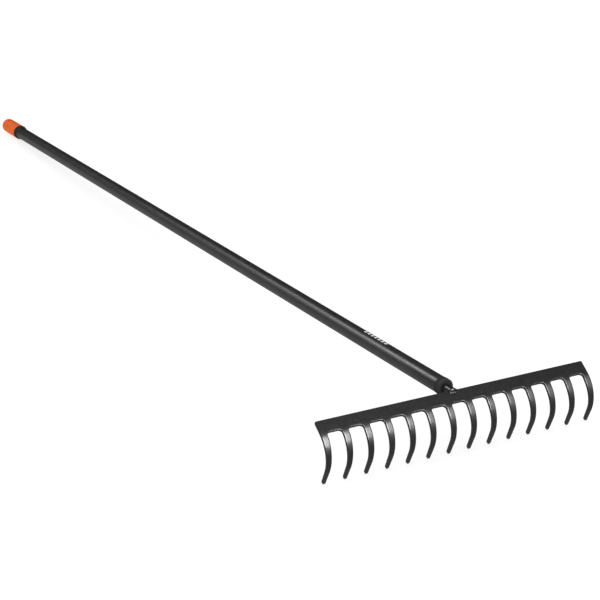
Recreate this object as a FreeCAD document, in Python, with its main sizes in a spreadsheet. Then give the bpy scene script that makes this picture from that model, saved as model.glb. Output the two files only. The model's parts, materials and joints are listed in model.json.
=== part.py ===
"""Level-head garden rake with a straight tang and a steel tube handle, in millimetres.

Every piece is modelled in the tool frame: the handle's axis is Y, with the head at Y = 0 and the cap at
large Y, X runs along the head and Z points up. The front of the head faces -Y. At the end every piece gets
the same Placement, which lays the rake down as it rests on a floor: on its tine tips and on the cap.
"""

import FreeCAD, Part
import math
import os
import re
import Sketcher

# The driving dimensions, in millimetres and degrees.
SIZES = {
    # the stamped head: a flat slanted bar, and tines that curve forward and back under it
    "head_width": 362.0,
    "tine_count": 14,
    "plate_thickness": 3.9,
    "edge_rise": 2.4,  # the bar's top edge above the handle's axis
    "bar_slant": 37.5,  # how far the bar leans forward and down, in degrees
    "bar_flat": 16.7,  # the bar's flat width, down to the tops of the gaps
    "bend_radius": 35.8,  # the tines' front face
    "bend_turn": 82.7,
    "tip_straight": 19.5,
    "tine_root_width": 7.9,
    "tine_tip_width": 3.9,
    "taper_start": -15.4,  # the height where the tines begin to taper
    "taper_end": -74.0,  # just under the tine tips
    "gap_round": 4.5,
    "tip_round": 1.5,
    "edge_break": 0.9,
    # the tang and what holds it
    "tang_radius": 5.4,
    "tang_front": -3.0,
    "tang_back": 122.0,
    "tang_nose": 2.5,
    "tang_chamfer": 1.0,
    "weld_front": -7.0,
    "weld_back": 6.0,
    "weld_radius": 9.0,
    "weld_lip": 0.6,
    "plug_front": 16.0,
    "plug_back": 50.0,
    "plug_radius": 11.05,  # its flange, a little wider than the tube
    "plug_nose": 1.5,
    "plug_dish": 0.6,
    "dish_radius": 7.6,
    "bush_front": 94.0,
    "bush_back": 120.0,
    "pin_place": 107.0,
    "pin_radius": 2.0,
    "pin_wall": 0.7,
    "pin_slit": 0.8,
    "pin_top": 8.0,
    "pin_inset": 0.3,
    # the handle
    "tube_radius": 10.65,
    "tube_wall": 1.0,
    "tube_front": 25.0,
    "tube_back": 1612.0,
    # the far end
    "collar_radius": 12.9,
    "cap_radius": 12.75,  # next to the collar
    "cap_end_radius": 12.5,
    "collar_front": 1569.0,
    "collar_break": 0.6,
    "cap_front": 1571.0,
    "cap_back": 1641.0,
    "cap_round": 3.0,
    "hang_radius": 4.0,
    "hang_inset": 13.5,
}

PARTS_FOLDER = "parts"

doc = FreeCAD.newDocument("garden_rake")
sheet = doc.addObject("Spreadsheet::Sheet", "Sizes")
for row, (name, value) in enumerate(SIZES.items(), start=1):
    sheet.set(f"A{row}", str(value))
    sheet.setAlias(f"A{row}", name)
doc.recompute()


def size(expression):
    """Spell out the sheet's names in an expression, such as "head_width / 2"."""
    return re.sub(r"[a-z_]+", lambda word: f"Sizes.{word[0]}" if word[0] in SIZES else word[0], expression)


def value_of(expression):
    """The number that an expression of the sheet's names gives now."""
    return float(sheet.evalExpression(size(expression)))


def bind(thing, path, expression):
    thing.setExpression(path, size(expression))


# Shared geometry helpers.


def new_body(label):
    body = doc.addObject("PartDesign::Body", label)
    body.Label = label
    return body


def new_sketch(body, name, role):
    """A sketch on one of the body's own origin planes."""
    plane = next(item for item in body.Origin.OriginFeatures if item.Role == role)
    sketch = body.newObject("Sketcher::SketchObject", name)
    sketch.AttachmentSupport = [(plane, "")]
    sketch.MapMode = "FlatFace"
    return sketch


def arc_between(start, end, radius):
    """The arc from start to end that turns left, as a sketch draws every arc."""
    chord = end - start
    reach = math.sqrt(radius**2 - chord.Length**2 / 4)
    to_left = FreeCAD.Vector(-chord.y, chord.x, 0).normalize()
    centre = start + chord * 0.5 + to_left * reach
    first = math.atan2(start.y - centre.y, start.x - centre.x)
    last = math.atan2(end.y - centre.y, end.x - centre.x)
    return Part.ArcOfCircle(Part.Circle(centre, FreeCAD.Vector(0, 0, 1), radius), first, last)


def draw_outline(sketch, corners, arcs=None):
    """Draw a closed outline. Corners are pairs of expressions. Arcs give, for the side that leaves a
    corner, its radius as an expression, with a minus sign in front where the side turns right."""
    arcs = arcs or {}
    places = [FreeCAD.Vector(value_of(x), value_of(y), 0) for x, y in corners]
    count = len(corners)
    first = sketch.GeometryCount
    ends = []
    for index, place in enumerate(places):
        following = places[(index + 1) % count]
        radius = arcs.get(index)
        if radius is None:
            geometry = Part.LineSegment(place, following)
            ends.append((1, 2))
        elif radius.startswith("-"):
            geometry = arc_between(following, place, value_of(radius[1:]))
            ends.append((2, 1))
        else:
            geometry = arc_between(place, following, value_of(radius))
            ends.append((1, 2))
        sketch.addGeometry(geometry, False)
    for index in range(count):
        side, following = first + index, first + (index + 1) % count
        leave, arrive = ends[index][1], ends[(index + 1) % count][0]
        sketch.addConstraint(Sketcher.Constraint("Coincident", side, leave, following, arrive))
    for index, (x, y) in enumerate(corners):
        side, point = first + index, ends[index][0]
        for kind, expression in (("DistanceX", x), ("DistanceY", y)):
            number = value_of(expression)
            place = sketch.addConstraint(Sketcher.Constraint(kind, -1, 1, side, point, number))
            bind(sketch, f"Constraints[{place}]", expression)
    for index, radius in arcs.items():
        radius = radius.lstrip("-")
        circle = Sketcher.Constraint("Radius", first + index, value_of(radius))
        place = sketch.addConstraint(circle)
        bind(sketch, f"Constraints[{place}]", radius)


def draw_circle(sketch, x, y, radius):
    """Draw a circle whose place and radius are expressions."""
    centre = FreeCAD.Vector(value_of(x), value_of(y), 0)
    circle = Part.Circle(centre, FreeCAD.Vector(0, 0, 1), value_of(radius))
    index = sketch.addGeometry(circle, False)
    for kind, expression in (("DistanceX", x), ("DistanceY", y)):
        number = value_of(expression)
        place = sketch.addConstraint(Sketcher.Constraint(kind, -1, 1, index, 3, number))
        bind(sketch, f"Constraints[{place}]", expression)
    place = sketch.addConstraint(Sketcher.Constraint("Radius", index, value_of(radius)))
    bind(sketch, f"Constraints[{place}]", radius)


def extrude(body, kind, name, sketch, length, other_way=None, reverse=False):
    """Pad or pocket a sketch. With other_way it goes that far on the sketch's other side too."""
    feature = body.newObject(f"PartDesign::{kind}", name)
    feature.Profile = sketch
    feature.Reversed = reverse
    bind(feature, "Length", length)
    if other_way is not None:
        feature.SideType = "Two sides"
        bind(feature, "Length2", other_way)
    body.Tip = feature
    return feature


def turn_round_axis(body, kind, name, sketch):
    """Revolve or groove a half section, drawn over the Y axis, all the way round it."""
    feature = body.newObject(f"PartDesign::{kind}", name)
    feature.Profile = sketch
    feature.ReferenceAxis = (sketch, ["H_Axis"])
    feature.Angle = 360
    body.Tip = feature
    return feature


def round_edges(body, name, test, radius):
    """Fillet the edges of the body's last feature that pass a test."""
    doc.recompute()
    last = body.Tip
    chosen = [f"Edge{i}" for i, edge in enumerate(last.Shape.Edges, start=1) if test(edge)]
    fillet = body.newObject("PartDesign::Fillet", name)
    fillet.Base = (last, chosen)
    bind(fillet, "Radius", radius)
    body.Tip = fillet
    return chosen


# The head.

ROOT_PITCH = "( head_width - tine_root_width ) / ( tine_count - 1 )"
TIP_PITCH = "( head_width - tine_tip_width ) / ( tine_count - 1 )"
LEAN = "bar_slant * 1 deg"
TIP_LEAN = "( bar_slant + bend_turn ) * 1 deg"
BACK_RADIUS = "( bend_radius - plate_thickness )"
BAR_FRONT = (f"- bar_flat * cos( {LEAN} )", f"edge_rise - bar_flat * sin( {LEAN} )")
BAR_BACK = (f"plate_thickness * sin( {LEAN} )", f"edge_rise - plate_thickness * cos( {LEAN} )")
BEND_CENTRE = (
    f"{BAR_FRONT[0]} + bend_radius * sin( {LEAN} )",
    f"{BAR_FRONT[1]} - bend_radius * cos( {LEAN} )",
)


def on_bend(radius, angle):
    """A place on one of the bend's two arcs, as (y, z)."""
    y, z = BEND_CENTRE
    return f"{y} - {radius} * sin( {angle} )", f"{z} + {radius} * cos( {angle} )"


def beyond(place, length):
    """The place that lies this far past another one, towards the tine's tip."""
    return f"{place[0]} - {length} * cos( {TIP_LEAN} )", f"{place[1]} - {length} * sin( {TIP_LEAN} )"


TIP_FRONT = beyond(on_bend("bend_radius", TIP_LEAN), "tip_straight")
TIP_BACK = beyond(on_bend(BACK_RADIUS, TIP_LEAN), "tip_straight")


def draw_tang_section(sketch):
    """The tang's half section: a rod with a rounded nose and a chamfered back end."""
    corners = [
        ("tang_front", "0"),
        ("tang_back", "0"),
        ("tang_back", "tang_radius - tang_chamfer"),
        ("tang_back - tang_chamfer", "tang_radius"),
        ("tang_front + tang_nose", "tang_radius"),
        ("tang_front", "tang_radius - tang_nose"),
    ]
    draw_outline(sketch, corners, {4: "tang_nose"})


def is_outer_corner(edge):
    """Whether an edge crosses the plate's thickness at a tine's tip or at the bar's top corners."""
    box = edge.BoundBox
    crosses = box.XLength < 0.5 and edge.Length < 1.1 * SIZES["plate_thickness"]
    at_tip = box.ZMax < value_of(f"{TIP_FRONT[1]} + plate_thickness")
    at_bar = box.ZMax > SIZES["edge_rise"] - SIZES["edge_break"] - 0.1
    at_end = abs(box.Center.x) > SIZES["head_width"] / 2 - 0.1
    return crosses and (at_tip or (at_bar and at_end))


def is_bar_edge(edge):
    """Whether an edge runs along the bar's top, at its front or its back."""
    top = value_of(BAR_BACK[1]) - 0.1
    return edge.Length > SIZES["head_width"] - 0.1 and edge.BoundBox.ZMin > top


def make_rake_head():
    """The head starts as a bent strip of plate. The gaps cut it into tines, in two cuts each: one straight
    from the front for the tapered sides, and one square to the slanted bar for the gap's rounded top."""
    body = new_body("rake_head")
    side = new_sketch(body, "head_side", "YZ_Plane")
    corners = [
        ("0", "edge_rise"),
        BAR_FRONT,
        on_bend("bend_radius", TIP_LEAN),
        TIP_FRONT,
        TIP_BACK,
        on_bend(BACK_RADIUS, TIP_LEAN),
        on_bend(BACK_RADIUS, LEAN),
        BAR_BACK,
    ]
    draw_outline(side, corners, {1: "bend_radius", 5: f"-{BACK_RADIUS}"})
    extrude(body, "Pad", "strip", side, "head_width / 2", "head_width / 2")
    round_edges(body, "bar_edges", is_bar_edge, "edge_break")

    sides = new_sketch(body, "gap_sides", "XZ_Plane")
    for gap in range(int(SIZES["tine_count"]) - 1):
        root = f"- head_width / 2 + {gap} * {ROOT_PITCH}"
        tip = f"- head_width / 2 + {gap} * {TIP_PITCH}"
        corners = [
            (f"{root} + tine_root_width", "taper_start"),
            (f"{tip} + tine_tip_width", "taper_end"),
            (f"{tip} + {TIP_PITCH}", "taper_end"),
            (f"{root} + {ROOT_PITCH}", "taper_start"),
        ]
        draw_outline(sides, corners)
    extrude(body, "Pocket", "gaps", sides, "bend_radius * 2", "bend_radius * 2")

    top = new_sketch(body, "gap_top", "XY_Plane")
    bind(top, ".AttachmentOffset.Base.z", "edge_rise")
    bind(top, ".AttachmentOffset.Rotation.Angle", "bar_slant")
    top.AttachmentOffset = FreeCAD.Placement(
        FreeCAD.Vector(0, 0, SIZES["edge_rise"]),
        FreeCAD.Rotation(FreeCAD.Vector(1, 0, 0), SIZES["bar_slant"]),
    )
    left, right = "tine_root_width - head_width / 2", f"{ROOT_PITCH} - head_width / 2"
    below = "- bar_flat - gap_round - tine_root_width"
    corners = [
        (left, below),
        (right, below),
        (right, "- bar_flat - gap_round"),
        (f"{right} - gap_round", "- bar_flat"),
        (f"{left} + gap_round", "- bar_flat"),
        (left, "- bar_flat - gap_round"),
    ]
    draw_outline(top, corners, {2: "gap_round", 4: "gap_round"})
    first_gap = extrude(body, "Pocket", "gap_top_cut", top, "bend_radius", "bend_radius")
    pattern = body.newObject("PartDesign::LinearPattern", "gap_tops")
    pattern.Originals = [first_gap]
    pattern.Direction = (top, ["H_Axis"])
    bind(pattern, "Length", f"{ROOT_PITCH} * ( tine_count - 2 )")
    bind(pattern, "Occurrences", "tine_count - 1")
    body.Tip = pattern
    round_edges(body, "outer_corners", is_outer_corner, "tip_round")

    seat = new_sketch(body, "tang_seat_section", "YZ_Plane")
    draw_tang_section(seat)
    turn_round_axis(body, "Groove", "tang_seat", seat)
    return body


def make_tang():
    body = new_body("tang")
    section = new_sketch(body, "tang_section", "YZ_Plane")
    draw_tang_section(section)
    turn_round_axis(body, "Revolution", "rod", section)
    drill_for_pin(body, "tube_radius", "tube_radius")
    return body


def make_tang_weld():
    """The bead under the tang, in the corner between it and the plate's back."""
    body = new_body("tang_weld")
    section = new_sketch(body, "bead_section", "YZ_Plane")
    corners = [
        ("weld_front", "0"),
        ("weld_back", "0"),
        ("weld_back", "tang_radius + weld_lip"),
        ("weld_front", "weld_radius"),
    ]
    draw_outline(section, corners)
    turn_round_axis(body, "Revolution", "bead", section)

    ahead = new_sketch(body, "plate_side", "YZ_Plane")
    far = "weld_radius * 4"
    low = (f"{BAR_BACK[0]} - {far} * cos( {LEAN} )", f"{BAR_BACK[1]} - {far} * sin( {LEAN} )")
    corners = [BAR_BACK, (far, BAR_BACK[1]), (far, far), (low[0], far), low]
    draw_outline(ahead, corners)
    extrude(body, "Pocket", "plate_room", ahead, "weld_radius * 2", "weld_radius * 2")

    rod = new_sketch(body, "tang_room_section", "YZ_Plane")
    draw_tang_section(rod)
    turn_round_axis(body, "Groove", "tang_room", rod)
    return body


# What holds the tang in the tube.


def drill_for_pin(body, down, up=None):
    """Drill the pin's hole from the handle's axis downwards, and upwards too where up is given."""
    sketch = new_sketch(body, f"{body.Name}_pin_place", "XY_Plane")
    draw_circle(sketch, "0", "pin_place", "pin_radius")
    return extrude(body, "Pocket", f"{body.Name}_pin_hole", sketch, down, up)


def make_tang_plug():
    """The bush that closes the tube's mouth: a flange outside it and a spigot inside it."""
    body = new_body("tang_plug")
    section = new_sketch(body, "plug_section", "YZ_Plane")
    corners = [
        ("plug_front + plug_dish", "tang_radius"),
        ("plug_back", "tang_radius"),
        ("plug_back", "tube_radius - tube_wall"),
        ("tube_front", "tube_radius - tube_wall"),
        ("tube_front", "plug_radius"),
        ("plug_front + plug_nose", "plug_radius"),
        ("plug_front", "plug_radius - plug_nose"),
        ("plug_front", "dish_radius"),
        ("plug_front + plug_dish", "dish_radius - plug_dish"),
    ]
    draw_outline(section, corners, {5: "plug_nose"})
    turn_round_axis(body, "Revolution", "plug", section)
    return body


def make_tang_bush():
    body = new_body("tang_bush")
    section = new_sketch(body, "bush_section", "YZ_Plane")
    corners = [
        ("bush_front", "tang_radius"),
        ("bush_back", "tang_radius"),
        ("bush_back", "tube_radius - tube_wall"),
        ("bush_front", "tube_radius - tube_wall"),
    ]
    draw_outline(section, corners)
    turn_round_axis(body, "Revolution", "bush", section)
    drill_for_pin(body, "tube_radius", "pin_top")
    return body


def make_tang_pin():
    """A rolled spring pin, driven in from below, with its slot towards the head."""
    body = new_body("tang_pin")
    ring = new_sketch(body, "pin_ring", "XY_Plane")
    draw_circle(ring, "0", "pin_place", "pin_radius")
    draw_circle(ring, "0", "pin_place", "pin_radius - pin_wall")
    extrude(body, "Pad", "pin", ring, "pin_top", "tube_radius - pin_inset")
    slot = new_sketch(body, "pin_slot", "XY_Plane")
    corners = [
        ("- pin_slit / 2", "pin_place - pin_radius * 2"),
        ("pin_slit / 2", "pin_place - pin_radius * 2"),
        ("pin_slit / 2", "pin_place"),
        ("- pin_slit / 2", "pin_place"),
    ]
    draw_outline(slot, corners)
    extrude(body, "Pocket", "slit", slot, "tube_radius", "tube_radius")
    return body


# The handle and its far end.


def make_handle_tube():
    body = new_body("handle_tube")
    section = new_sketch(body, "tube_section", "YZ_Plane")
    corners = [
        ("tube_front", "tube_radius - tube_wall"),
        ("tube_back", "tube_radius - tube_wall"),
        ("tube_back", "tube_radius"),
        ("tube_front", "tube_radius"),
    ]
    draw_outline(section, corners)
    turn_round_axis(body, "Revolution", "tube", section)
    drill_for_pin(body, "tube_radius * 2")
    return body


def make_cap_collar():
    body = new_body("cap_collar")
    section = new_sketch(body, "collar_section", "YZ_Plane")
    corners = [
        ("collar_front", "tube_radius"),
        ("cap_front", "tube_radius"),
        ("cap_front", "collar_radius"),
        ("collar_front + collar_break", "collar_radius"),
        ("collar_front", "collar_radius - collar_break"),
    ]
    draw_outline(section, corners, {3: "collar_break"})
    turn_round_axis(body, "Revolution", "collar", section)
    return body


def make_end_cap():
    """A sleeve over the tube with a solid end, which has the hole that the rake hangs by."""
    body = new_body("end_cap")
    section = new_sketch(body, "cap_section", "YZ_Plane")
    corners = [
        ("cap_front", "tube_radius"),
        ("tube_back", "tube_radius"),
        ("tube_back", "0"),
        ("cap_back", "0"),
        ("cap_back", "cap_end_radius - cap_round"),
        ("cap_back - cap_round", "cap_end_radius"),
        ("cap_front", "cap_radius"),
    ]
    draw_outline(section, corners, {4: "cap_round"})
    turn_round_axis(body, "Revolution", "cap", section)
    place = new_sketch(body, "hang_place", "XY_Plane")
    draw_circle(place, "0", "cap_back - hang_inset", "hang_radius")
    extrude(body, "Pocket", "hang_hole", place, "cap_radius * 2", "cap_radius * 2")
    return body


def lay_down(bodies):
    """Turn the rake about X until its tine tips and the cap's rounded end reach one floor, and put the middle
    of its box over the origin."""
    tip = FreeCAD.Vector(0, value_of(TIP_FRONT[0]), value_of(TIP_FRONT[1]))
    rounding = FreeCAD.Vector(0, value_of("cap_back - cap_round"), value_of("cap_round - cap_end_radius"))
    reach = rounding - tip
    slope = math.atan2(reach.z, reach.y) - math.asin(SIZES["cap_round"] / reach.Length)
    turn = FreeCAD.Rotation(FreeCAD.Vector(1, 0, 0), -math.degrees(slope))
    box = FreeCAD.BoundBox()
    for body in bodies:
        body.Placement = FreeCAD.Placement(FreeCAD.Vector(), turn)
        box.add(body.Shape.optimalBoundingBox(False))
    for body in bodies:
        body.Placement = FreeCAD.Placement(FreeCAD.Vector(-box.Center.x, -box.Center.y, -box.ZMin), turn)
    return math.degrees(slope)


def check(bodies):
    """Stop before writing anything if a feature failed or a piece isn't one sound solid."""
    for thing in doc.Objects:
        if "Invalid" in thing.State or "Error" in thing.State:
            raise RuntimeError(f"{thing.Label} failed: {thing.State}")
    for body in bodies:
        shape = body.Shape
        if shape.isNull() or not shape.isValid() or len(shape.Solids) != 1:
            raise RuntimeError(f"{body.Label} isn't one sound solid")


bodies = [
    make_rake_head(),
    make_tang(),
    make_tang_weld(),
    make_tang_plug(),
    make_tang_bush(),
    make_tang_pin(),
    make_handle_tube(),
    make_cap_collar(),
    make_end_cap(),
]
doc.recompute()
check(bodies)
slope = lay_down(bodies)
doc.recompute()
check(bodies)
print(f"the handle slopes by {slope:.3f} degrees")
os.makedirs(PARTS_FOLDER, exist_ok=True)
for body in bodies:
    body.Shape.exportStep(f"{PARTS_FOLDER}/{body.Label}.step")
    box = body.Shape.optimalBoundingBox(False)
    size_text = f"{box.XLength:.2f} x {box.YLength:.2f} x {box.ZLength:.2f}"
    print(f"{body.Label}: {body.Shape.Volume:.0f} mm3, {size_text} mm")
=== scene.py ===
import json
import math

import bmesh
import bpy
from mathutils import Euler, Matrix, Vector


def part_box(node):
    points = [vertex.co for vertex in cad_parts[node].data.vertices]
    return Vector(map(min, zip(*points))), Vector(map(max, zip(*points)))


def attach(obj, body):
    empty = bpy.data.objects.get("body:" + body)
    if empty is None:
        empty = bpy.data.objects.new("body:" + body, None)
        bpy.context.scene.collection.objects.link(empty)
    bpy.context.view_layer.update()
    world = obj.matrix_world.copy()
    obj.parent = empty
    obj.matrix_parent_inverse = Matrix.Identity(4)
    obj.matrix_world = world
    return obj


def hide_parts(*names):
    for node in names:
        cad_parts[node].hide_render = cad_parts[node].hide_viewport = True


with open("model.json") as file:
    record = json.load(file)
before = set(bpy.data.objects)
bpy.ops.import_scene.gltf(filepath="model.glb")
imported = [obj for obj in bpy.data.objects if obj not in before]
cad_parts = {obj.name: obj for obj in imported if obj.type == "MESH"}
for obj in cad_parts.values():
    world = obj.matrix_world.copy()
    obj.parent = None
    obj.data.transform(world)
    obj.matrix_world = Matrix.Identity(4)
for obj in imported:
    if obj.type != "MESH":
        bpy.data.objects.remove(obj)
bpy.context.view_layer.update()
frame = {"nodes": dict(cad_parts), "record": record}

# The looks of a level-head garden rake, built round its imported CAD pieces.
# Shapes are worked out in the tool frame, in millimetres, and placed in the row's frame, in metres.

BODY = "root"
MM = 0.001

# The tool frame: Y is the handle's axis, with the head at 0, and Z is square to it. The hanging hole, this
# many metres from the head, gives its tilt and its place.
HOLE_FROM_HEAD = 1.6275
HOLE = next(mount for mount in frame["record"]["mounts"] if mount["name"] == "hang_hole")
UP = Vector(HOLE["axis"])
ALONG = Vector((0, UP.z, -UP.y))
HEAD_PLACE = Vector(HOLE["pos_m"]) - ALONG * HOLE_FROM_HEAD


def tool(x, y, z):
    """A place in the tool frame, in millimetres, as a place in the row's frame, in metres."""
    return HEAD_PLACE + (Vector((1, 0, 0)) * x + ALONG * y + UP * z) * MM


def radius_of(node):
    """The radius of a CAD piece turned round the handle's axis, in millimetres."""
    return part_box(node)[1][0] / MM


# What the pieces share.

SHARP_ANGLE = 40


def new_mesh(name, corners, faces):
    mesh = bpy.data.meshes.new(name)
    mesh.from_pydata([tuple(corner) for corner in corners], [], faces)
    mesh.update()
    piece = bpy.data.objects.new(name, mesh)
    bpy.context.scene.collection.objects.link(piece)
    return piece


def band(one, other):
    """The faces between two closed loops with as many corners each."""
    return list(zip(one, one[1:] + one[:1], other[1:] + other[:1], other))


def close_up(piece, sharp_angle=SHARP_ANGLE):
    """Turn the faces outwards, and shade smoothly up to an angle in degrees."""
    work = bmesh.new()
    work.from_mesh(piece.data)
    bmesh.ops.recalc_face_normals(work, faces=work.faces)
    work.to_mesh(piece.data)
    work.free()
    for polygon in piece.data.polygons:
        polygon.use_smooth = True
    piece.data.set_sharp_from_angle(angle=math.radians(sharp_angle))


def dress(piece, slot, *nodes):
    """Give a piece its material and body, and let it stand for its CAD nodes."""
    piece.data.materials.append(COATS[slot])
    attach(piece, BODY)
    if nodes:
        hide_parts(*nodes)


def quarter(steps):
    """Angles from 0 to a right angle."""
    return [math.pi / 2 * step / steps for step in range(steps + 1)]


# The head, in millimetres: a plate bent to a line, an arc and a line, and cut into tines. A tine narrows
# between the two taper heights, from its root's width to its tip's.

HEAD_WIDTH = 362.0
TINES = 14
PLATE = 3.9
EDGE_RISE = 2.4
BAR_SLANT = math.radians(37.5)
BAR_FLAT = 16.7
BEND_RADIUS = 35.8
BEND_TURN = math.radians(82.7)
TIP_STRAIGHT = 19.5
ROOT_WIDTH = 7.9
TIP_WIDTH = 3.9
TAPER_START = -15.4
TAPER_END = -74.0
GAP_ROUND = 4.5
TIP_ROUND = 1.5
CORNER_ROUND = 1.5
EDGE_ROUND = 0.6
HEAD_SHARP_ANGLE = 50
BEND_LENGTH = BEND_RADIUS * BEND_TURN
TINE_END = BAR_FLAT + BEND_LENGTH + TIP_STRAIGHT


def plate_section(down, depth):
    """The plate's side profile: the place this far down its front face and this deep below it, as (y, z)."""
    bend = min(max(down - BAR_FLAT, 0.0), BEND_LENGTH)
    angle = BAR_SLANT + bend / BEND_RADIUS
    centre_y = -BAR_FLAT * math.cos(BAR_SLANT) + BEND_RADIUS * math.sin(BAR_SLANT)
    centre_z = EDGE_RISE - BAR_FLAT * math.sin(BAR_SLANT) - BEND_RADIUS * math.cos(BAR_SLANT)
    radius = BEND_RADIUS - depth
    straight = down - BAR_FLAT - bend
    y = centre_y - radius * math.sin(angle) - straight * math.cos(angle)
    z = centre_z + radius * math.cos(angle) - straight * math.sin(angle)
    return y, z


def tine_sides(tine, down):
    """The x of a tine's left and right sides, this far down the plate."""
    height = plate_section(down, 0)[1]
    taper = min(max((TAPER_START - height) / (TAPER_START - TAPER_END), 0.0), 1.0)
    width = ROOT_WIDTH + (TIP_WIDTH - ROOT_WIDTH) * taper
    middle = -(HEAD_WIDTH - width) / 2 + tine * (HEAD_WIDTH - width) / (TINES - 1)
    return middle - width / 2, middle + width / 2


CORNER_STEPS = 6
ROUND_STEPS = 4
BAR_ROWS = 8
TINE_COLUMNS = 5
TINE_ROWS = 34
GAP_COLUMNS = 6
COLUMNS_PER_TINE = TINE_COLUMNS + 1 + 2 * CORNER_STEPS + GAP_COLUMNS - 1


class Plate:
    """The head's mesh. The same net of columns and rows lies on its front and its back, and its rim joins
    them. Inset is how far the net's outline lies inside the plate's own."""

    def __init__(self):
        self.corners = []
        self.faces = []

    def point(self, x, down, depth):
        y, z = plate_section(down, depth)
        self.corners.append(tool(x, y, z))
        return len(self.corners) - 1

    def bar_columns(self, inset):
        """Each column's x and its lowest place on the bar, over the tines and over the gaps between them."""
        columns = []
        root = BAR_FLAT + GAP_ROUND
        for tine in range(TINES):
            left, right = tine_sides(tine, root)
            for step in range(TINE_COLUMNS + 1):
                share = step / TINE_COLUMNS
                columns.append((left + inset + (right - left - 2 * inset) * share, root))
            if tine == TINES - 1:
                break
            wall = tine_sides(tine + 1, root)[0]
            radius = GAP_ROUND + inset
            for angle in quarter(CORNER_STEPS)[1:]:
                across = GAP_ROUND - radius * math.cos(angle)
                columns.append((right + across, root - radius * math.sin(angle)))
            start, end = right + GAP_ROUND, wall - GAP_ROUND
            for step in range(1, GAP_COLUMNS):
                columns.append((start + (end - start) * step / GAP_COLUMNS, BAR_FLAT - inset))
            for angle in reversed(quarter(CORNER_STEPS)[1:]):
                across = GAP_ROUND - radius * math.cos(angle)
                columns.append((wall - across, root - radius * math.sin(angle)))
        return columns

    def net(self, inset, depth):
        """Lay the net at one inset and depth. Gives the bar's rows and each tine's rows of corner numbers."""
        columns = self.bar_columns(inset)
        half = HEAD_WIDTH / 2 - inset
        rows = []
        for angle in reversed(quarter(CORNER_STEPS)):
            radius = CORNER_ROUND - inset
            narrow = (HEAD_WIDTH / 2 - CORNER_ROUND + radius * math.cos(angle)) / half
            down = CORNER_ROUND - radius * math.sin(angle)
            rows.append([self.point(x * narrow, down, depth) for x, _ in columns])
        for row in range(1, BAR_ROWS + 1):
            share = row / BAR_ROWS
            rows.append(
                [self.point(x, CORNER_ROUND + (low - CORNER_ROUND) * share, depth) for x, low in columns]
            )
        tines = []
        for tine in range(TINES):
            first = tine * COLUMNS_PER_TINE
            tine_rows = [rows[-1][first : first + TINE_COLUMNS + 1]]
            start, end = BAR_FLAT + GAP_ROUND, TINE_END - TIP_ROUND
            for row in range(1, TINE_ROWS + 1):
                down = start + (end - start) * row / TINE_ROWS
                left, right = tine_sides(tine, down)
                tine_rows.append(self.tine_row(left + inset, right - inset, down, depth))
            for angle in quarter(CORNER_STEPS)[1:]:
                radius = TIP_ROUND - inset
                left, right = tine_sides(tine, TINE_END)
                across = TIP_ROUND - radius * math.cos(angle)
                down = end + radius * math.sin(angle)
                tine_rows.append(self.tine_row(left + across, right - across, down, depth))
            tines.append(tine_rows)
        return rows, tines

    def tine_row(self, left, right, down, depth):
        """A row of corners across one tine."""
        steps = range(TINE_COLUMNS + 1)
        return [self.point(left + (right - left) * step / TINE_COLUMNS, down, depth) for step in steps]

    def cover(self, rows, flip):
        """Fill the net between its rows. The back's faces are flipped."""
        for upper, lower in zip(rows, rows[1:]):
            for a, b, c, d in zip(upper, upper[1:], lower[1:], lower):
                self.faces.append((a, b, c, d) if flip else (d, c, b, a))

    def outline(self, rows, tines):
        """The corners round the edge of a net, anticlockwise from the top left as seen from the front."""
        edge = [row[0] for row in rows]
        for tine, tine_rows in enumerate(tines):
            edge += [row[0] for row in tine_rows[1:]]
            edge += tine_rows[-1][1:-1]
            edge += [row[-1] for row in reversed(tine_rows)]
            if tine < TINES - 1:
                first = tine * COLUMNS_PER_TINE + TINE_COLUMNS + 1
                edge += rows[-1][first : (tine + 1) * COLUMNS_PER_TINE + 1]
        edge += [row[-1] for row in reversed(rows[:-1])]
        edge += list(reversed(rows[0][1:-1]))
        return edge

    def build(self):
        layers = []
        for angle in quarter(ROUND_STEPS):
            layers.append((EDGE_ROUND * (1 - math.sin(angle)), EDGE_ROUND * (1 - math.cos(angle))))
        layers += [(inset, PLATE - depth) for inset, depth in reversed(layers)]
        nets = [self.net(inset, depth) for inset, depth in layers]
        for (rows, tines), flip in ((nets[0], False), (nets[-1], True)):
            self.cover(rows, flip)
            for tine_rows in tines:
                self.cover(tine_rows, flip)
        edges = [self.outline(*net) for net in nets]
        for front, back in zip(edges, edges[1:]):
            self.faces += band(front, back)
        return self.corners, self.faces


def make_head():
    """The head, without the corners that no face uses."""
    corners, faces = Plate().build()
    used = sorted({corner for face in faces for corner in face})
    renumber = {old: new for new, old in enumerate(used)}
    faces = [tuple(renumber[corner] for corner in face) for face in faces]
    head = new_mesh("head_plate", [corners[old] for old in used], faces)
    close_up(head, HEAD_SHARP_ANGLE)
    return head


# The turned pieces, in millimetres along the handle's axis.

TANG_RADIUS = radius_of("tang")
PLUG_RADIUS = radius_of("tang_plug")
TUBE_RADIUS = radius_of("handle_tube")
COLLAR_RADIUS = radius_of("cap_collar")
CAP_RADIUS = radius_of("end_cap")
CAP_TAPER = 0.25
TUBE_WALL = 1.0
TANG_FRONT, TANG_BACK = -3.0, 122.0
TANG_NOSE, TANG_CHAMFER = 2.5, 1.0
PLUG_FRONT, PLUG_BACK, PLUG_NOSE = 16.0, 50.0, 1.5
DISH_RADIUS, DISH_DEPTH = 7.6, 0.6
TUBE_FRONT, TUBE_BACK = 25.0, 1612.0
COLLAR_FRONT, COLLAR_NOSE = 1569.0, 0.6
CAP_FRONT, CAP_BACK = 1571.0, 1641.0
CAP_FRONT_ROUND, CAP_BACK_ROUND = 0.8, 3.0
HANG_RADIUS, HANG_RIM, HANG_PLACE = 4.0, 0.7, HOLE_FROM_HEAD / MM
PIN_RADIUS, PIN_PLACE = 2.0, 107.0
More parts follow.
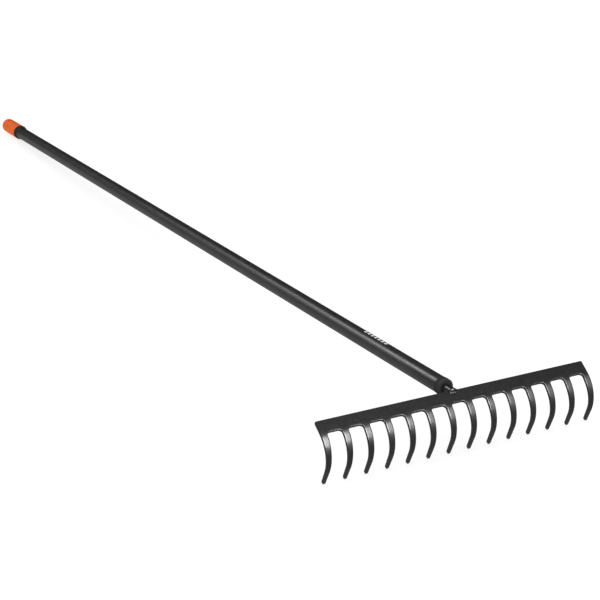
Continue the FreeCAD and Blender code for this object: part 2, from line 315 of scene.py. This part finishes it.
PIN_TOP, PIN_BOTTOM, PIN_WALL, PIN_SLIT = 8.0, -10.35, 0.7, 0.8
PIN_CHAMFER, PIN_STEPS = 0.25, 40
CUT_ROUND, DEBURRED_ROUND, MOULDED_ROUND = 0.2, 0.25, 0.3

# Segments go round a turned piece, arc steps round a rounding, and patch steps from a drilled patch's edge to
# its hole.
SEGMENTS = 96
ARC_STEPS = 5
PATCH_STEPS = 4


def rounded(outline):
    """Round a closed outline of (y, radius, rounding) corners, and give its (y, radius) points."""
    points = []
    for index, (y, r, rounding) in enumerate(outline):
        corner = Vector((y, r))
        if not rounding:
            points.append((y, r))
            continue
        before = (Vector(outline[index - 1][:2]) - corner).normalized()
        after = (Vector(outline[(index + 1) % len(outline)][:2]) - corner).normalized()
        half = before.angle(after) / 2
        centre = corner + (before + after).normalized() * rounding / math.sin(half)
        start = corner + before * rounding / math.tan(half) - centre
        end = corner + after * rounding / math.tan(half) - centre
        for step in range(ARC_STEPS + 1):
            spoke = start.slerp(end, step / ARC_STEPS).normalized() * rounding
            points.append(tuple(centre + spoke))
    return points


class Turned:
    """A mesh turned round the handle's axis from a closed outline of (y, radius) points."""

    def __init__(self, outline):
        self.outline = outline
        self.corners = []
        self.faces = []
        self.left_out = set()
        self.rings = [self.ring(y, r) for y, r in outline]

    def add(self, x, y, z):
        self.corners.append(tool(x, y, z))
        return len(self.corners) - 1

    def ring(self, y, radius):
        """A ring of corners round the axis, or one corner many times over where it closes on the axis."""
        if radius == 0:
            return [self.add(0, y, 0)] * SEGMENTS
        turns = [2 * math.pi * step / SEGMENTS for step in range(SEGMENTS)]
        return [self.add(radius * math.cos(turn), y, radius * math.sin(turn)) for turn in turns]

    def drill(self, first, last, side, spread, place, radius, rim):
        """Open a round hole in the rings from first to last, on the upper (1) or the lower (-1) side. Spread
        is how many segments it takes each way. Gives the corners at the hole's edge, below its round rim."""
        forward = 1 if last > first else -1
        low, high = min(first, last), max(first, last)
        top = SEGMENTS // 4
        for row in range(low, high):
            for segment in range(top - spread, top + spread):
                mirrored = segment if side > 0 else -segment - 1
                self.left_out.add((row, mirrored % SEGMENTS))
        inner = range(first + forward, last, forward)
        edge = [(first, top + turn) for turn in range(-spread, spread + 1)]
        edge += [(row, top + spread) for row in inner]
        edge += [(last, top - turn) for turn in range(-spread, spread + 1)]
        edge += [(row, top - spread) for row in reversed(inner)]
        places = []
        for row, segment in edge:
            y, reach = self.outline[row]
            places.append((reach * math.cos(2 * math.pi * segment / SEGMENTS), y))
        loop = [self.rings[row][side * segment % SEGMENTS] for row, segment in edge]
        (near, near_radius), (far, far_radius) = self.outline[first], self.outline[last]

        def surface(x, y):
            reach = near_radius + (far_radius - near_radius) * (y - near) / (far - near)
            return math.sqrt(reach**2 - x**2)

        turns = [math.atan2(y - place, x) for x, y in places]
        for step in range(1, PATCH_STEPS + 1):
            share = step / PATCH_STEPS
            ring = []
            for (x, y), turn in zip(places, turns):
                across = x + ((radius + rim) * math.cos(turn) - x) * share
                along = y + (place + (radius + rim) * math.sin(turn) - y) * share
                ring.append(self.add(across, along, side * surface(across, along)))
            self.join(loop, ring)
            loop = ring
        rim_angles = quarter(ARC_STEPS)[1:] if rim else []
        for angle in rim_angles:
            reach = radius + rim * (1 - math.sin(angle))
            ring = []
            for turn in turns:
                across, along = reach * math.cos(turn), place + reach * math.sin(turn)
                height = surface(across, along) - rim * (1 - math.cos(angle))
                ring.append(self.add(across, along, side * height))
            self.join(loop, ring)
            loop = ring
        return loop

    def join(self, one, other):
        self.faces += band(one, other)

    def build(self, name):
        """Close the rings with faces, apart from the places that are drilled, and give the piece."""
        for row, ring in enumerate(self.rings):
            following = self.rings[(row + 1) % len(self.rings)]
            for segment in range(SEGMENTS):
                if (row, segment) in self.left_out:
                    continue
                beside = (segment + 1) % SEGMENTS
                face = [ring[segment], ring[beside], following[beside], following[segment]]
                face = list(dict.fromkeys(face))
                if len(face) > 2:
                    self.faces.append(tuple(face))
        piece = new_mesh(name, self.corners, self.faces)
        close_up(piece)
        return piece


def make_tang():
    """The rod, with a rounded front and a chamfered back."""
    outline = [
        (TANG_FRONT, 0, 0),
        (TANG_FRONT, TANG_RADIUS, TANG_NOSE),
        (TANG_BACK - TANG_CHAMFER, TANG_RADIUS, 0),
        (TANG_BACK, TANG_RADIUS - TANG_CHAMFER, 0),
        (TANG_BACK, 0, 0),
    ]
    return Turned(rounded(outline)).build("tang_rod")


def make_plug():
    """The plug in the tube's mouth: its sleeve, its flange before the tube's end, and its dished face."""
    bore = TUBE_RADIUS - TUBE_WALL
    outline = [
        (PLUG_FRONT + DISH_DEPTH, TANG_RADIUS, CUT_ROUND),
        (PLUG_BACK, TANG_RADIUS, CUT_ROUND),
        (PLUG_BACK, bore, MOULDED_ROUND),
        (TUBE_FRONT, bore, 0),
        (TUBE_FRONT, PLUG_RADIUS, MOULDED_ROUND),
        (PLUG_FRONT, PLUG_RADIUS, PLUG_NOSE),
        (PLUG_FRONT, DISH_RADIUS, CUT_ROUND),
        (PLUG_FRONT + DISH_DEPTH, DISH_RADIUS - DISH_DEPTH, CUT_ROUND),
    ]
    return Turned(rounded(outline)).build("mouth_plug")


def make_tube():
    """The tube, with the pin's hole drilled through its wall from below. Rings lie close by the hole."""
    bore = TUBE_RADIUS - TUBE_WALL
    reach, rows, spread = 4.5, 8, 7
    drilled = [PIN_PLACE - reach + 2 * reach * row / rows for row in range(rows + 1)]
    outline = [(TUBE_BACK, TUBE_RADIUS, CUT_ROUND), (TUBE_BACK, bore, CUT_ROUND)]
    outline += [(y, bore, 0) for y in reversed(drilled)]
    outline += [(TUBE_FRONT, bore, CUT_ROUND), (TUBE_FRONT, TUBE_RADIUS, DEBURRED_ROUND)]
    outline += [(y, TUBE_RADIUS, 0) for y in drilled]
    turned = Turned(rounded(outline))
    inside = turned.outline.index((drilled[-1], bore))
    outside = turned.outline.index((drilled[0], TUBE_RADIUS))
    inner_edge = turned.drill(inside + rows, inside, -1, spread, PIN_PLACE, PIN_RADIUS, 0)
    outer_edge = turned.drill(
        outside, outside + rows, -1, spread, PIN_PLACE, PIN_RADIUS, DEBURRED_ROUND
    )
    turned.join(outer_edge, inner_edge)
    return turned.build("tube_shell")


def make_collar():
    """The black ring round the tube, against the cap's front."""
    outline = [
        (COLLAR_FRONT, TUBE_RADIUS, CUT_ROUND),
        (CAP_FRONT, TUBE_RADIUS, 0),
        (CAP_FRONT, COLLAR_RADIUS, MOULDED_ROUND),
        (COLLAR_FRONT, COLLAR_RADIUS, COLLAR_NOSE),
    ]
    return Turned(rounded(outline)).build("collar_ring")


def make_cap():
    """The orange cap: a sleeve over the tube's end, solid beyond it, with the hanging hole through that."""
    before, after, rows, spread = 8.0, 7.8, 8, 10
    start, end = HANG_PLACE - before, HANG_PLACE + after
    taper = CAP_TAPER / (CAP_BACK - CAP_BACK_ROUND - CAP_FRONT)
    drilled = [start + (end - start) * row / rows for row in range(rows + 1)]
    outline = [
        (TUBE_BACK, 0, 0),
        (TUBE_BACK, TUBE_RADIUS, 0),
        (CAP_FRONT, TUBE_RADIUS, 0),
        (CAP_FRONT, CAP_RADIUS, CAP_FRONT_ROUND),
    ]
    outline += [(y, CAP_RADIUS - taper * (y - CAP_FRONT), 0) for y in drilled]
    outline += [(CAP_BACK, CAP_RADIUS - CAP_TAPER, CAP_BACK_ROUND), (CAP_BACK, 0, 0)]
    turned = Turned(rounded(outline))
    first = next(row for row, (y, _) in enumerate(turned.outline) if y == drilled[0])
    edges = []
    for side in (1, -1):
        edges.append(turned.drill(first, first + rows, side, spread, HANG_PLACE, HANG_RADIUS, HANG_RIM))
    turned.join(*edges)
    return turned.build("hang_cap")


def make_pin():
    """The rolled pin: a steel strip bent round to a tube, open along a slit that faces the head."""
    slit = math.asin(PIN_SLIT / 2 / PIN_RADIUS)
    levels = [
        (PIN_BOTTOM, PIN_CHAMFER),
        (PIN_BOTTOM + PIN_CHAMFER, 0),
        (PIN_TOP - PIN_CHAMFER, 0),
        (PIN_TOP, PIN_CHAMFER),
    ]
    corners, rings = [], []
    for z, inward in levels:
        ring = []
        for radius in (PIN_RADIUS - inward, PIN_RADIUS - PIN_WALL):
            row = []
            for step in range(PIN_STEPS + 1):
                turn = -math.pi / 2 + slit + (2 * math.pi - 2 * slit) * step / PIN_STEPS
                corners.append(tool(radius * math.cos(turn), PIN_PLACE + radius * math.sin(turn), z))
                row.append(len(corners) - 1)
            ring += row if not ring else row[::-1]
        rings.append(ring)
    faces = []
    for lower, upper in zip(rings, rings[1:]):
        faces += band(lower, upper)
    for ring in (rings[0], rings[-1]):
        for step in range(PIN_STEPS):
            faces.append((ring[step], ring[step + 1], ring[-step - 2], ring[-step - 1]))
    piece = new_mesh("rolled_pin", corners, faces)
    close_up(piece)
    return piece


# The weld bead: it follows the line where the tang's rod meets the plate, all the way round, and its radius
# grows from the line's top to its bottom. The line lies on the plate's front, then on its top edge and then
# on its back, and the two shares say where it passes from one to the next.

BEAD_POINTS = 240
BEAD_NOSE_SHARE = 0.35
BEAD_EDGE_SHARE = 0.6
BEAD_SMOOTHINGS = 6
BEAD_SIDES = 14
BEAD_TOP = 1.0
BEAD_BOTTOM = 1.9
BEAD_RIPPLES = 22
BEAD_RIPPLE = 0.06
BEAD_SHARP_ANGLE = 70


def bead_line(share):
    """The place on the line at this share of the way from the rod's front to its underside, on one side."""
    slope = math.tan(BAR_SLANT)
    back_y, back_z = plate_section(0, PLATE)
    radius = TANG_RADIUS
    if share < BEAD_NOSE_SHARE:
        flat = TANG_RADIUS - TANG_NOSE
        reach = share / BEAD_NOSE_SHARE * (flat + TANG_NOSE * math.pi / 2)
        turn = max(reach - flat, 0) / TANG_NOSE
        radius = min(reach, flat) + TANG_NOSE * math.sin(turn)
        y = TANG_FRONT + TANG_NOSE * (1 - math.cos(turn))
        z = EDGE_RISE + y * slope
    elif share < BEAD_EDGE_SHARE:
        along = (share - BEAD_NOSE_SHARE) / (BEAD_EDGE_SHARE - BEAD_NOSE_SHARE)
        y = back_y * along
        z = EDGE_RISE + (back_z - EDGE_RISE) * along
    else:
        along = (share - BEAD_EDGE_SHARE) / (1 - BEAD_EDGE_SHARE)
        first = math.asin(back_z / TANG_RADIUS)
        z = TANG_RADIUS * math.sin(first + (-math.pi / 2 - first) * along)
        y = back_y + (z - back_z) / slope
    return Vector((math.sqrt(max(radius**2 - z**2, 0)), y, z))


def smoothed(line):
    """The closed line with each point drawn a little towards its neighbours."""
    following = line[1:] + line[:1]
    before = line[-1:] + line[:-1]
    return [(one + place * 2 + other) / 4 for one, place, other in zip(before, line, following)]


def make_bead():
    line = []
    for step in range(BEAD_POINTS):
        share = 2 * step / BEAD_POINTS
        place = bead_line(share if share <= 1 else 2 - share)
        line.append(place if share <= 1 else Vector((-place.x, place.y, place.z)))
    for _ in range(BEAD_SMOOTHINGS):
        line = smoothed(line)
    middle = sum(line, Vector()) / BEAD_POINTS
    low, high = min(place.z for place in line), max(place.z for place in line)
    corners, faces, rings = [], [], []
    for index, place in enumerate(line):
        ahead = (line[(index + 1) % BEAD_POINTS] - line[index - 1]).normalized()
        outward = place - middle
        outward = (outward - ahead * outward.dot(ahead)).normalized()
        across = ahead.cross(outward)
        depth = (high - place.z) / (high - low)
        ripple = (1 + math.cos(2 * math.pi * BEAD_RIPPLES * index / BEAD_POINTS)) / 2
        radius = (BEAD_TOP + (BEAD_BOTTOM - BEAD_TOP) * depth) * (1 - BEAD_RIPPLE + BEAD_RIPPLE * ripple)
        rings.append(list(range(len(corners), len(corners) + BEAD_SIDES)))
        for side in range(BEAD_SIDES):
            turn = 2 * math.pi * side / BEAD_SIDES
            corners.append(tool(*(place + (outward * math.cos(turn) + across * math.sin(turn)) * radius)))
    for one, other in zip(rings, rings[1:] + rings[:1]):
        faces += band(one, other)
    piece = new_mesh("weld_bead", corners, faces)
    close_up(piece, BEAD_SHARP_ANGLE)
    return piece


# The mark: a row of plain white dashes on the tube, which stands for the printed name.

MARK_START, MARK_END = 158.0, 219.0
MARK_COUNT = 7
MARK_SHARE = 0.62
MARK_TURN = math.radians(7)
MARK_HEIGHT = 4.2
MARK_CORNER = 0.8
MARK_CORNER_STEPS = 5
INK = 0.03


def make_dash(number):
    """One dash: a rectangle with round corners, laid round the tube. Its ink rises just above the surface."""
    pitch = (MARK_END - MARK_START) / MARK_COUNT
    length = pitch * MARK_SHARE
    centre = MARK_START + pitch * (number + 0.5)
    outline = []
    for corner, (along, across) in enumerate(((1, 1), (-1, 1), (-1, -1), (1, -1))):
        for step in range(MARK_CORNER_STEPS + 1):
            turn = math.pi / 2 * (corner + step / MARK_CORNER_STEPS)
            outline.append((
                along * (length / 2 - MARK_CORNER) + MARK_CORNER * math.cos(turn),
                across * (MARK_HEIGHT / 2 - MARK_CORNER) + MARK_CORNER * math.sin(turn),
            ))
    corners, rings = [], []

    def place(along, across, radius):
        turn = MARK_TURN + across / TUBE_RADIUS
        corners.append(tool(radius * math.sin(turn), centre + along, radius * math.cos(turn)))
        return len(corners) - 1

    for scale, lift in ((1, -INK), (1, INK), (0.75, INK), (0.5, INK), (0.25, INK)):
        rings.append([place(along * scale, across * scale, TUBE_RADIUS + lift) for along, across in outline])
    faces = []
    for one, other in zip(rings, rings[1:]):
        faces += band(one, other)
    faces.append(tuple(rings[-1]))
    faces.append(tuple(reversed(rings[0])))
    piece = new_mesh(f"mark_dash_{number + 1}", corners, faces)
    close_up(piece)
    return piece


# Materials. A surface's own constants sit on the shader's sockets; its detail comes from noise in the piece's
# own coordinates, in metres.


class Coat:
    """A material with its shader, and short ways to vary its colour, gloss and relief."""

    def __init__(self, name, colour, roughness, specular=0.5):
        self.material = bpy.data.materials.new(name)
        self.material.use_nodes = True
        self.tree = self.material.node_tree
        self.shader = self.tree.nodes["Principled BSDF"]
        self.shader.inputs["Base Color"].default_value = (*colour, 1)
        self.shader.inputs["Roughness"].default_value = roughness
        self.shader.inputs["Specular IOR Level"].default_value = specular
        self.place = self.tree.nodes.new("ShaderNodeTexCoord").outputs["Object"]
        self.relief_end = None

    def noise(self, scale, detail=3.0, stretch=(1, 1, 1)):
        """Noise with this many features per metre, drawn out along an axis where its stretch is small."""
        mapping = self.tree.nodes.new("ShaderNodeMapping")
        mapping.inputs["Scale"].default_value = stretch
        self.tree.links.new(self.place, mapping.inputs["Vector"])
        noise = self.tree.nodes.new("ShaderNodeTexNoise")
        noise.inputs["Scale"].default_value = scale
        noise.inputs["Detail"].default_value = detail
        self.tree.links.new(mapping.outputs["Vector"], noise.inputs["Vector"])
        return noise.outputs["Fac"]

    def spread(self, source, low, high, start=0.3, end=0.7):
        """Carry a source from start..end to low..high."""
        span = self.tree.nodes.new("ShaderNodeMapRange")
        for socket, value in zip(("From Min", "From Max", "To Min", "To Max"), (start, end, low, high)):
            span.inputs[socket].default_value = value
        self.tree.links.new(source, span.inputs["Value"])
        return span.outputs["Result"]

    def product(self, one, other):
        """One source times another."""
        multiply = self.tree.nodes.new("ShaderNodeMath")
        multiply.operation = "MULTIPLY"
        self.tree.links.new(one, multiply.inputs[0])
        self.tree.links.new(other, multiply.inputs[1])
        return multiply.outputs["Value"]

    def blend_colours(self, amount, one, other):
        """Mix from one colour to another, or from what the shader has so far where one is None."""
        mix = self.tree.nodes.new("ShaderNodeMix")
        mix.data_type = "RGBA"
        if one is None:
            made = self.shader.inputs["Base Color"].links[0].from_socket
            self.tree.links.new(made, mix.inputs["A"])
        else:
            mix.inputs["A"].default_value = (*one, 1)
        mix.inputs["B"].default_value = (*other, 1)
        self.tree.links.new(amount, mix.inputs["Factor"])
        self.tree.links.new(mix.outputs["Result"], self.shader.inputs["Base Color"])

    def gloss(self, source):
        """Let a source be the surface's roughness."""
        self.tree.links.new(source, self.shader.inputs["Roughness"])

    def relief(self, source, height):
        """Raise and sink the surface by a source, with its height in metres."""
        bump = self.tree.nodes.new("ShaderNodeBump")
        bump.inputs["Strength"].default_value = 1.0
        bump.inputs["Distance"].default_value = height
        self.tree.links.new(source, bump.inputs["Height"])
        if self.relief_end is not None:
            self.tree.links.new(self.relief_end, bump.inputs["Normal"])
        self.relief_end = bump.outputs["Normal"]
        self.tree.links.new(self.relief_end, self.shader.inputs["Normal"])

    def height(self):
        """How far above the floor the surface is."""
        split = self.tree.nodes.new("ShaderNodeSeparateXYZ")
        self.tree.links.new(self.place, split.inputs[0])
        return split.outputs["Z"]


HEAD_BLACK = (0.013, 0.013, 0.0125)
HEAD_GREY = (0.0148, 0.0148, 0.0143)
TIP_GREY = (0.045, 0.045, 0.043)
TIP_GREY_FROM, TIP_GREY_TO = 0.001, 0.008
TUBE_BLACK = (0.024, 0.0245, 0.025)
TUBE_GREY = (0.031, 0.0315, 0.032)
PLASTIC_BLACK = (0.018, 0.018, 0.018)
PLASTIC_GREY = (0.023, 0.023, 0.023)
BUSH_DARK = (0.52, 0.52, 0.48)
BUSH_LIGHT = (0.6, 0.6, 0.56)
ORANGE_DARK = (0.72, 0.105, 0.0015)
ORANGE_LIGHT = (0.8, 0.13, 0.004)
STEEL = (0.42, 0.42, 0.43)
STEEL_DARK = (0.3, 0.3, 0.31)
STEEL_LIGHT = (0.5, 0.5, 0.5)
INK_WHITE = (0.8, 0.8, 0.79)
INK_THIN = (0.5, 0.5, 0.5)
INK_THICK = (0.85, 0.85, 0.84)


def head_coat():
    """Satin black powder coat over pressed steel: a fine orange peel, drawing lines along the tines, and
    lighter grey patches on the tines' tips, which fade out between 1 and 8 mm above the floor."""
    coat = Coat("head_coat", HEAD_BLACK, 0.3)
    coat.blend_colours(coat.spread(coat.noise(45), 0, 1), HEAD_BLACK, HEAD_GREY)
    # The tines' tips turn lighter grey in patches close to the floor, fading out between 1 and 8 mm above it.
    low_down = coat.spread(coat.height(), 1, 0, start=TIP_GREY_FROM, end=TIP_GREY_TO)
    patches = coat.spread(coat.noise(900), 0, 0.8, start=0.45, end=0.62)
    coat.blend_colours(coat.product(low_down, patches), None, TIP_GREY)
    coat.gloss(coat.spread(coat.noise(160), 0.25, 0.285))
    coat.relief(coat.noise(900, detail=2.0, stretch=(1, 0.06, 0.06)), height=0.00004)
    coat.relief(coat.noise(1300, detail=2.0), height=0.000012)
    return coat.material


def tube_coat():
    """Thin satin black coating on drawn tube: faint draw lines along it and a fine grain."""
    coat = Coat("tube_coat", TUBE_BLACK, 0.34)
    coat.blend_colours(coat.spread(coat.noise(30), 0, 1), TUBE_BLACK, TUBE_GREY)
    coat.gloss(coat.spread(coat.noise(120), 0.3, 0.38))
    coat.relief(coat.noise(700, detail=2.0, stretch=(1, 0.02, 1)), height=0.00004)
    coat.relief(coat.noise(1600, detail=2.0), height=0.00002)
    return coat.material


def moulded(name, dark, light, smoothest, roughest, specular=0.5):
    """Moulded plastic: slight clouding in its colour, and the mould's fine texture."""
    coat = Coat(name, dark, (smoothest + roughest) / 2, specular)
    coat.blend_colours(coat.spread(coat.noise(80), 0, 1), dark, light)
    coat.gloss(coat.spread(coat.noise(400), smoothest, roughest))
    coat.relief(coat.noise(2200, detail=2.0), height=0.00004)
    return coat.material


def pin_steel():
    """Bare steel, with fine lines along the pin."""
    coat = Coat("pin_steel", STEEL, 0.35)
    coat.shader.inputs["Metallic"].default_value = 1.0
    coat.blend_colours(coat.spread(coat.noise(500), 0, 1), STEEL_DARK, STEEL_LIGHT)
    coat.gloss(coat.spread(coat.noise(900), 0.25, 0.5))
    coat.relief(coat.noise(2500, detail=2.0, stretch=(1, 1, 0.1)), height=0.00003)
    return coat.material


def mark_ink():
    """White pad print, a little thin in places."""
    coat = Coat("mark_ink", INK_WHITE, 0.55)
    coat.blend_colours(coat.spread(coat.noise(1800), 0, 1, start=0.3, end=0.5), INK_THIN, INK_THICK)
    coat.relief(coat.noise(2600, detail=2.0), height=0.00002)
    return coat.material


COATS = {
    "head_coat": head_coat(),
    "tube_coat": tube_coat(),
    "black_plastic": moulded("black_plastic", PLASTIC_BLACK, PLASTIC_GREY, 0.68, 0.78, specular=0.2),
    "bush_plastic": moulded("bush_plastic", BUSH_DARK, BUSH_LIGHT, 0.45, 0.6),
    "pin_steel": pin_steel(),
    "cap_plastic": moulded("cap_plastic", ORANGE_DARK, ORANGE_LIGHT, 0.36, 0.46, specular=0.22),
    "mark_ink": mark_ink(),
}

# Every CAD piece gets its material, though only the bush, hidden in the tube, keeps its CAD mesh.
for entry in frame["record"]["subparts"]:
    piece = frame["nodes"][entry["node"]]
    piece.data.materials.clear()
    piece.data.materials.append(COATS[entry["material_slot"]])

dress(make_head(), "head_coat", "rake_head")
dress(make_tang(), "head_coat", "tang")
dress(make_bead(), "head_coat", "tang_weld")
dress(make_plug(), "black_plastic", "tang_plug")
dress(make_tube(), "tube_coat", "handle_tube")
dress(make_pin(), "pin_steel", "tang_pin")
dress(make_collar(), "black_plastic", "cap_collar")
dress(make_cap(), "cap_plastic", "end_cap")
for number in range(MARK_COUNT):
    dress(make_dash(number), "mark_ink")

# The camera, placed in the tool frame: 2.3 m from the head, in front of it, to its left and above it. Its
# place, lens and sensor are in millimetres, its turn in degrees, and the farthest that it sees in metres.

CAMERA_PLACE = (-1075.39, -1838.04, 835.46)
CAMERA_TURN = (71.4031, 2.4366, -26.4737)
LENS = 116.6
SENSOR = 36
FARTHEST_SEEN = 50

tool_axes = Matrix(((1, ALONG.x, UP.x), (0, ALONG.y, UP.y), (0, ALONG.z, UP.z)))
camera_axes = tool_axes @ Euler([math.radians(angle) for angle in CAMERA_TURN]).to_matrix()
camera = bpy.data.objects.new("camera", bpy.data.cameras.new("camera"))
bpy.context.scene.collection.objects.link(camera)
camera.matrix_world = Matrix.Translation(tool(*CAMERA_PLACE)) @ camera_axes.to_4x4()
camera.data.lens = LENS
camera.data.sensor_width = SENSOR
camera.data.clip_end = FARTHEST_SEEN
bpy.context.scene.camera = camera

# The studio: a white room that lights everything evenly, and softboxes that show only as reflections.

HEAD_MIDDLE = tool(0, 0, -20)
ROOM_LIGHT = 1.05
FRONT_DISTANCE, BACK_DISTANCE = 3.0, 4.5
SOFTBOXES = (
    # name, turn, elevation, distance, left, right, height, strength
    ("front_key", 0, 45, FRONT_DISTANCE, -0.5, 1.15, 2.06, 29.0),
    ("front_fill", 0, 42, FRONT_DISTANCE, 1.15, 3.2, 2.5, 1.9),
    ("front_low", 0, 12, FRONT_DISTANCE, -0.7, 3.2, 1.28, 0.9),
    ("back_key", 202, 33, BACK_DISTANCE, -0.75, 0.75, 1.2, 8.5),
    ("back_fill", 206, 16, BACK_DISTANCE, -0.5, 0.5, 0.9, 1.3),
)


def add_softbox(name, turn, elevation, distance, left, right, height, strength):
    """A softbox that faces the head, seen at this elevation and turned round from -Y towards +X, in degrees.
    It reaches from left to right of that line, in metres, and its strength is the white that it shows."""
    facing = Euler((math.radians(90 - elevation), 0, math.radians(turn))).to_matrix()
    light = bpy.data.lights.new(name, "AREA")
    light.shape = "RECTANGLE"
    light.size, light.size_y = right - left, height
    light.energy = strength * light.size * height * math.pi
    box = bpy.data.objects.new(name, light)
    place = HEAD_MIDDLE + facing @ Vector(((left + right) / 2, 0, distance))
    box.matrix_world = Matrix.Translation(place) @ facing.to_4x4()
    box.visible_diffuse = False
    box.visible_camera = False
    bpy.context.scene.collection.objects.link(box)


for softbox in SOFTBOXES:
    add_softbox(*softbox)

FLOOR_REACH = 40.0
FLOOR_WHITE, FLOOR_GLOW = 0.35, 0.72
DIM_FLOOR_HEIGHT, DIM_FLOOR_GLOW = -0.0005, 0.31


def add_floor(name, height, white, glow):
    """A wide, dull floor at this height, in metres."""
    corners = [(x * FLOOR_REACH, y * FLOOR_REACH, height) for x, y in ((-1, -1), (1, -1), (1, 1), (-1, 1))]
    floor = new_mesh(name, corners, [(0, 1, 2, 3)])
    coat = Coat(name, (white, white, white), roughness=0.9, specular=0.0)
    coat.shader.inputs["Emission Color"].default_value = (1, 1, 1, 1)
    coat.shader.inputs["Emission Strength"].default_value = glow
    floor.data.materials.append(coat.material)
    return floor


# The floor glows, so that the rake's shadow stays faint. The rake's coating mirrors a dimmer floor instead.
floor = add_floor("floor", 0.0, FLOOR_WHITE, FLOOR_GLOW)
floor.visible_glossy = False
dim_floor = add_floor("dim_floor", DIM_FLOOR_HEIGHT, 0.0, DIM_FLOOR_GLOW)
dim_floor.visible_camera = False
dim_floor.visible_diffuse = False
dim_floor.visible_shadow = False

world = bpy.data.worlds.new("studio")
bpy.context.scene.world = world
world.use_nodes = True
world.node_tree.nodes["Background"].inputs["Color"].default_value = (1, 1, 1, 1)
world.node_tree.nodes["Background"].inputs["Strength"].default_value = ROOM_LIGHT
world.cycles_visibility.glossy = False

bpy.context.scene.view_settings.view_transform = "Standard"
